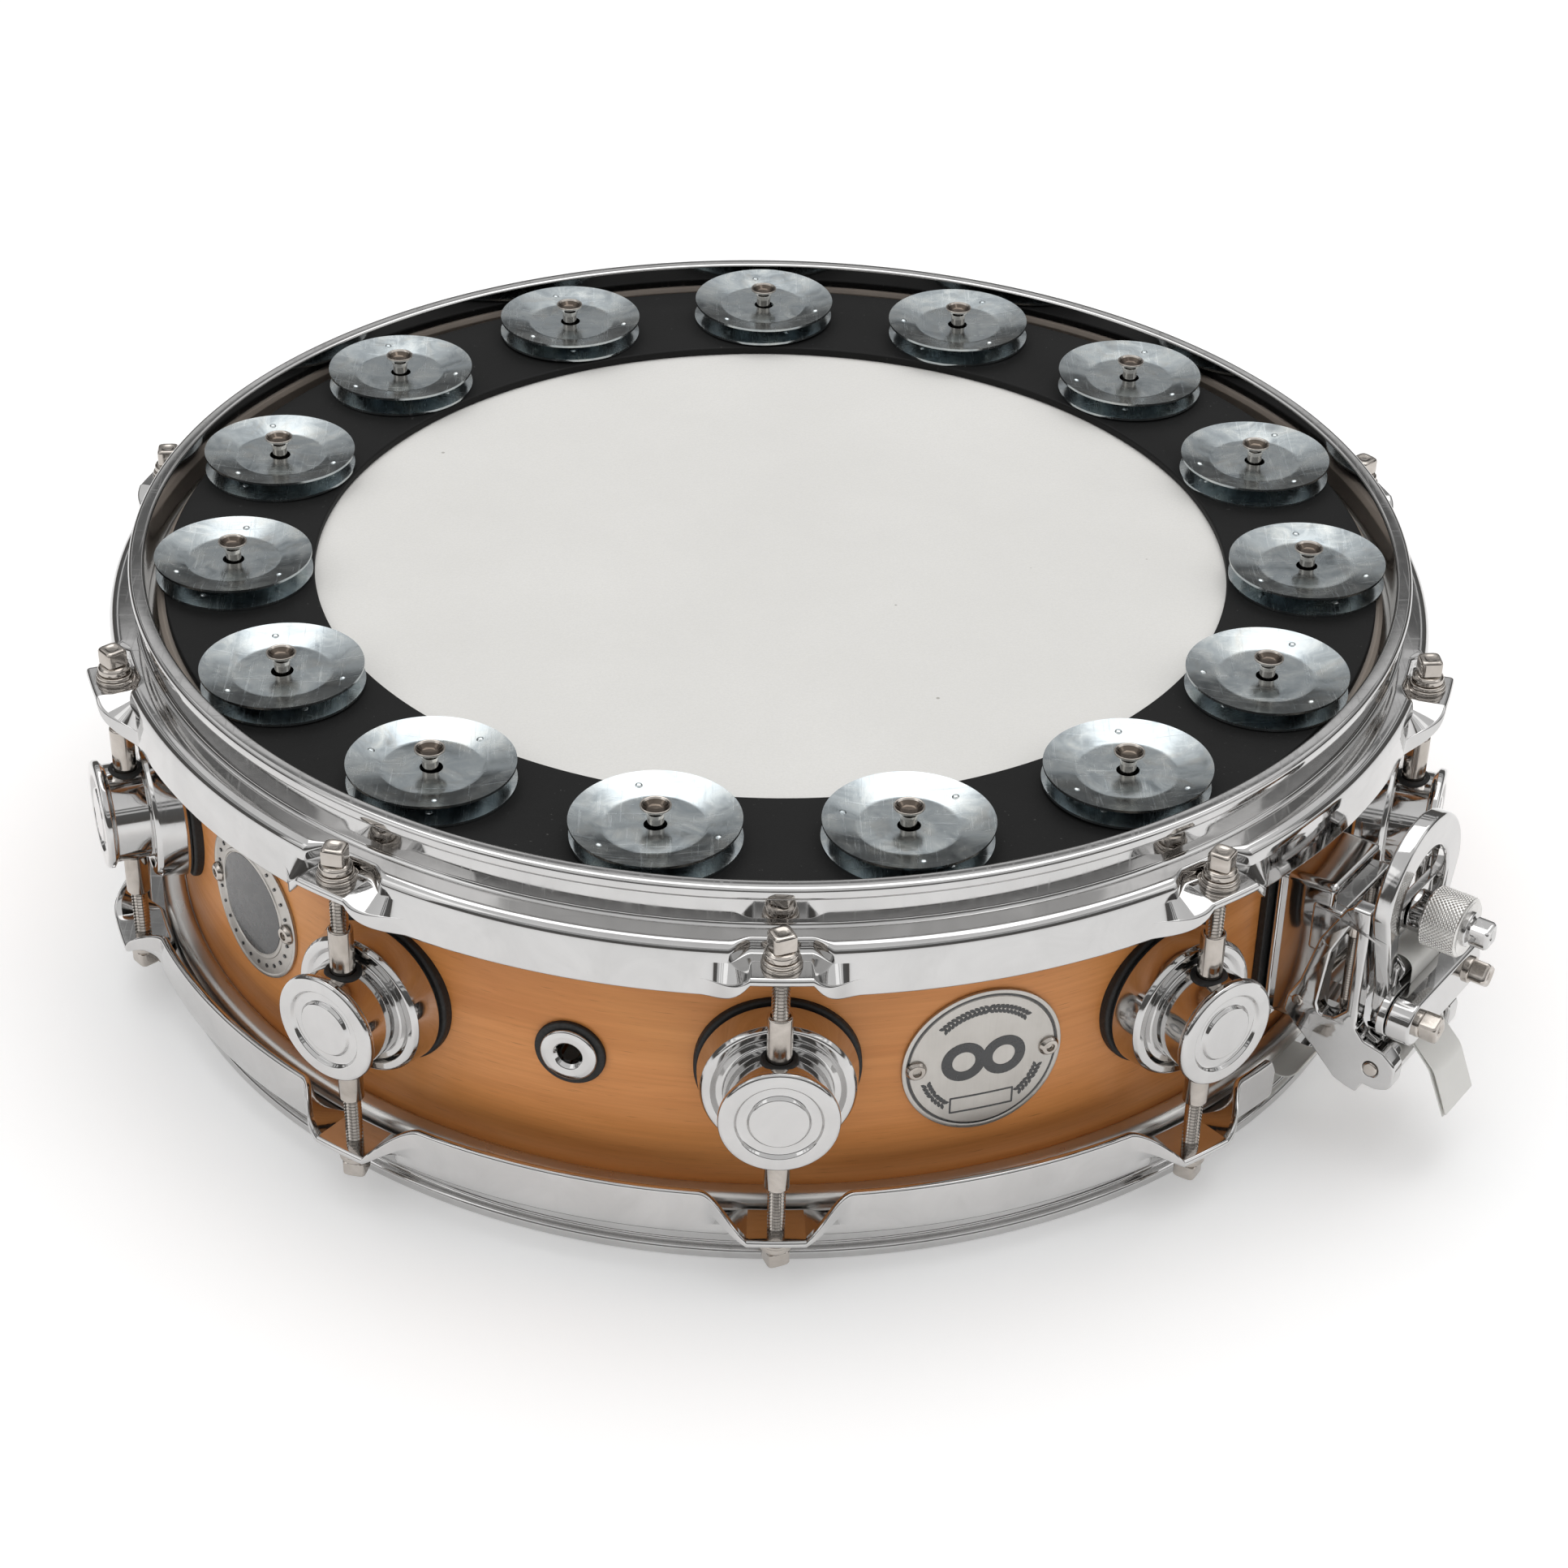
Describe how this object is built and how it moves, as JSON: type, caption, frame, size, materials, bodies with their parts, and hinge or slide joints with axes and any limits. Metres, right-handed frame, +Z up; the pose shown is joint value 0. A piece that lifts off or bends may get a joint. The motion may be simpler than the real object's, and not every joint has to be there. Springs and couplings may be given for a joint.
{
  "type": "snare drum with a jingle ring",
  "caption": "Shallow wooden snare drum with turret lugs and triple-flanged hoops, a lever strainer, and a loose ring of paired jingles lying on the batter head.",
  "frame": {"origin": "on the drum's axis, at the flat underside of the lower rim that it stands on", "axes": "+Z up along the drum's axis, -Y towards the front lug, +X to the right; the throw-off is 54 degrees from -Y towards +X"},
  "size_m": [0.3965, 0.4052, 0.1248],
  "materials": {
    "maple": "satin lacquered maple veneer",
    "coated_head": "white coated drum film",
    "clear_head": "thin translucent film",
    "flesh_alloy": "brushed",
    "chrome": "polished chrome plate",
    "nickel": "polished nickel plate",
    "rubber": "matte black rubber",
    "steel": "zinc plated steel",
    "badge": "satin plate",
    "ring_black": "matte black moulded ring",
    "jingle_zinc": "scuffed zinc plated sheet",
    "strap_film": "milky plastic ribbon",
    "wire": "bright steel wire",
    "knurl": "knurled satin chrome"
  },
  "bodies": {
    "root": {"shell": "maple", "batter_head": "coated_head", "snare_side_head": "clear_head", "flesh_hoops": "flesh_alloy", "batter_hoop": "chrome", "snare_side_hoop": "chrome", "lug_casings": "chrome", "lug_gaskets": "rubber", "swivel_nuts": "nickel", "tension_rods": "nickel", "rod_washers": "nickel", "mounting_screws": "steel", "shell_badges": "badge", "vent_grommet": "chrome", "shell_gaskets": "rubber", "snare_wires": "wire", "snare_end_plates": "wire", "snare_straps": "strap_film", "throwoff_housing": "chrome", "lever_pivot_pin": "nickel", "butt_plate": "chrome"},
    "throw_lever": {"throwoff_lever": "chrome"},
    "tension_knob": {"tension_knob": "knurl"},
    "strap_carriage": {"strap_carriage": "chrome", "strap_roller": "nickel", "clamp_bar": "chrome", "clamp_screws": "nickel", "strap_tail": "strap_film"},
    "jingle_ring": {"jingle_ring": "ring_black", "jingle_rivets": "nickel"},
    "lower_jingle_01": {"lower_jingle_01": "jingle_zinc"},
    "upper_jingle_01": {"upper_jingle_01": "jingle_zinc"},
    "lower_jingle_02": {"lower_jingle_02": "jingle_zinc"},
    "upper_jingle_02": {"upper_jingle_02": "jingle_zinc"},
    "lower_jingle_03": {"lower_jingle_03": "jingle_zinc"},
    "upper_jingle_03": {"upper_jingle_03": "jingle_zinc"},
    "lower_jingle_04": {"lower_jingle_04": "jingle_zinc"},
    "upper_jingle_04": {"upper_jingle_04": "jingle_zinc"},
    "lower_jingle_05": {"lower_jingle_05": "jingle_zinc"},
    "upper_jingle_05": {"upper_jingle_05": "jingle_zinc"},
    "lower_jingle_06": {"lower_jingle_06": "jingle_zinc"},
    "upper_jingle_06": {"upper_jingle_06": "jingle_zinc"},
    "lower_jingle_07": {"lower_jingle_07": "jingle_zinc"},
    "upper_jingle_07": {"upper_jingle_07": "jingle_zinc"},
    "lower_jingle_08": {"lower_jingle_08": "jingle_zinc"},
    "upper_jingle_08": {"upper_jingle_08": "jingle_zinc"},
    "lower_jingle_09": {"lower_jingle_09": "jingle_zinc"},
    "upper_jingle_09": {"upper_jingle_09": "jingle_zinc"},
    "lower_jingle_10": {"lower_jingle_10": "jingle_zinc"},
    "upper_jingle_10": {"upper_jingle_10": "jingle_zinc"},
    "lower_jingle_11": {"lower_jingle_11": "jingle_zinc"},
    "upper_jingle_11": {"upper_jingle_11": "jingle_zinc"},
    "lower_jingle_12": {"lower_jingle_12": "jingle_zinc"},
    "upper_jingle_12": {"upper_jingle_12": "jingle_zinc"},
    "lower_jingle_13": {"lower_jingle_13": "jingle_zinc"},
    "upper_jingle_13": {"upper_jingle_13": "jingle_zinc"},
    "lower_jingle_14": {"lower_jingle_14": "jingle_zinc"},
    "upper_jingle_14": {"upper_jingle_14": "jingle_zinc"},
    "lower_jingle_15": {"lower_jingle_15": "jingle_zinc"},
    "upper_jingle_15": {"upper_jingle_15": "jingle_zinc"}
  },
  "joints": [
    {"name": "handle_throw", "type": "hinge", "parent": "root", "child": "throw_lever", "pos_m": [0.17507, -0.1272, 0.0332], "axis": [0.5878, 0.809, 0], "range_deg": [0, 62]},
    {"name": "handle_tension_knob", "type": "hinge", "parent": "throw_lever", "child": "tension_knob", "pos_m": [0.17507, -0.1272, 0.075], "axis": [0.809, -0.5878, 0], "range_deg": [-725, 725]},
    {"name": "handle_strap_lift", "type": "slide", "parent": "throw_lever", "child": "strap_carriage", "axis": [0, 0, 1], "range_m": [-0.002, 0.002]},
    {"name": "jingle_ring_lift", "type": "slide", "parent": "root", "child": "jingle_ring", "axis": [0, 0, 1], "range_m": [0, 0.04]},
    {"name": "lower_jingle_01_rattle", "type": "slide", "parent": "jingle_ring", "child": "lower_jingle_01", "axis": [0, 0, 1], "range_m": [0, 0.002]},
    {"name": "upper_jingle_01_rattle", "type": "slide", "parent": "lower_jingle_01", "child": "upper_jingle_01", "axis": [0, 0, 1], "range_m": [0, 0.002]},
    {"name": "lower_jingle_02_rattle", "type": "slide", "parent": "jingle_ring", "child": "lower_jingle_02", "axis": [0, 0, 1], "range_m": [0, 0.002]},
    {"name": "upper_jingle_02_rattle", "type": "slide", "parent": "lower_jingle_02", "child": "upper_jingle_02", "axis": [0, 0, 1], "range_m": [0, 0.002]},
    {"name": "lower_jingle_03_rattle", "type": "slide", "parent": "jingle_ring", "child": "lower_jingle_03", "axis": [0, 0, 1], "range_m": [0, 0.002]},
    {"name": "upper_jingle_03_rattle", "type": "slide", "parent": "lower_jingle_03", "child": "upper_jingle_03", "axis": [0, 0, 1], "range_m": [0, 0.002]},
    {"name": "lower_jingle_04_rattle", "type": "slide", "parent": "jingle_ring", "child": "lower_jingle_04", "axis": [0, 0, 1], "range_m": [0, 0.002]},
    {"name": "upper_jingle_04_rattle", "type": "slide", "parent": "lower_jingle_04", "child": "upper_jingle_04", "axis": [0, 0, 1], "range_m": [0, 0.002]},
    {"name": "lower_jingle_05_rattle", "type": "slide", "parent": "jingle_ring", "child": "lower_jingle_05", "axis": [0, 0, 1], "range_m": [0, 0.002]},
    {"name": "upper_jingle_05_rattle", "type": "slide", "parent": "lower_jingle_05", "child": "upper_jingle_05", "axis": [0, 0, 1], "range_m": [0, 0.002]},
    {"name": "lower_jingle_06_rattle", "type": "slide", "parent": "jingle_ring", "child": "lower_jingle_06", "axis": [0, 0, 1], "range_m": [0, 0.002]},
    {"name": "upper_jingle_06_rattle", "type": "slide", "parent": "lower_jingle_06", "child": "upper_jingle_06", "axis": [0, 0, 1], "range_m": [0, 0.002]},
    {"name": "lower_jingle_07_rattle", "type": "slide", "parent": "jingle_ring", "child": "lower_jingle_07", "axis": [0, 0, 1], "range_m": [0, 0.002]},
    {"name": "upper_jingle_07_rattle", "type": "slide", "parent": "lower_jingle_07", "child": "upper_jingle_07", "axis": [0, 0, 1], "range_m": [0, 0.002]},
    {"name": "lower_jingle_08_rattle", "type": "slide", "parent": "jingle_ring", "child": "lower_jingle_08", "axis": [0, 0, 1], "range_m": [0, 0.002]},
    {"name": "upper_jingle_08_rattle", "type": "slide", "parent": "lower_jingle_08", "child": "upper_jingle_08", "axis": [0, 0, 1], "range_m": [0, 0.002]},
    {"name": "lower_jingle_09_rattle", "type": "slide", "parent": "jingle_ring", "child": "lower_jingle_09", "axis": [0, 0, 1], "range_m": [0, 0.002]},
    {"name": "upper_jingle_09_rattle", "type": "slide", "parent": "lower_jingle_09", "child": "upper_jingle_09", "axis": [0, 0, 1], "range_m": [0, 0.002]},
    {"name": "lower_jingle_10_rattle", "type": "slide", "parent": "jingle_ring", "child": "lower_jingle_10", "axis": [0, 0, 1], "range_m": [0, 0.002]},
    {"name": "upper_jingle_10_rattle", "type": "slide", "parent": "lower_jingle_10", "child": "upper_jingle_10", "axis": [0, 0, 1], "range_m": [0, 0.002]},
    {"name": "lower_jingle_11_rattle", "type": "slide", "parent": "jingle_ring", "child": "lower_jingle_11", "axis": [0, 0, 1], "range_m": [0, 0.002]},
    {"name": "upper_jingle_11_rattle", "type": "slide", "parent": "lower_jingle_11", "child": "upper_jingle_11", "axis": [0, 0, 1], "range_m": [0, 0.002]},
    {"name": "lower_jingle_12_rattle", "type": "slide", "parent": "jingle_ring", "child": "lower_jingle_12", "axis": [0, 0, 1], "range_m": [0, 0.002]},
    {"name": "upper_jingle_12_rattle", "type": "slide", "parent": "lower_jingle_12", "child": "upper_jingle_12", "axis": [0, 0, 1], "range_m": [0, 0.002]},
    {"name": "lower_jingle_13_rattle", "type": "slide", "parent": "jingle_ring", "child": "lower_jingle_13", "axis": [0, 0, 1], "range_m": [0, 0.002]},
    {"name": "upper_jingle_13_rattle", "type": "slide", "parent": "lower_jingle_13", "child": "upper_jingle_13", "axis": [0, 0, 1], "range_m": [0, 0.002]},
    {"name": "lower_jingle_14_rattle", "type": "slide", "parent": "jingle_ring", "child": "lower_jingle_14", "axis": [0, 0, 1], "range_m": [0, 0.002]},
    {"name": "upper_jingle_14_rattle", "type": "slide", "parent": "lower_jingle_14", "child": "upper_jingle_14", "axis": [0, 0, 1], "range_m": [0, 0.002]},
    {"name": "lower_jingle_15_rattle", "type": "slide", "parent": "jingle_ring", "child": "lower_jingle_15", "axis": [0, 0, 1], "range_m": [0, 0.002]},
    {"name": "upper_jingle_15_rattle", "type": "slide", "parent": "lower_jingle_15", "child": "upper_jingle_15", "axis": [0, 0, 1], "range_m": [0, 0.002]}
  ],
  "couplings": [
    {"joint": "handle_tension_knob", "follows": "handle_strap_lift", "rad_per_m": 6283.2}
  ]
}
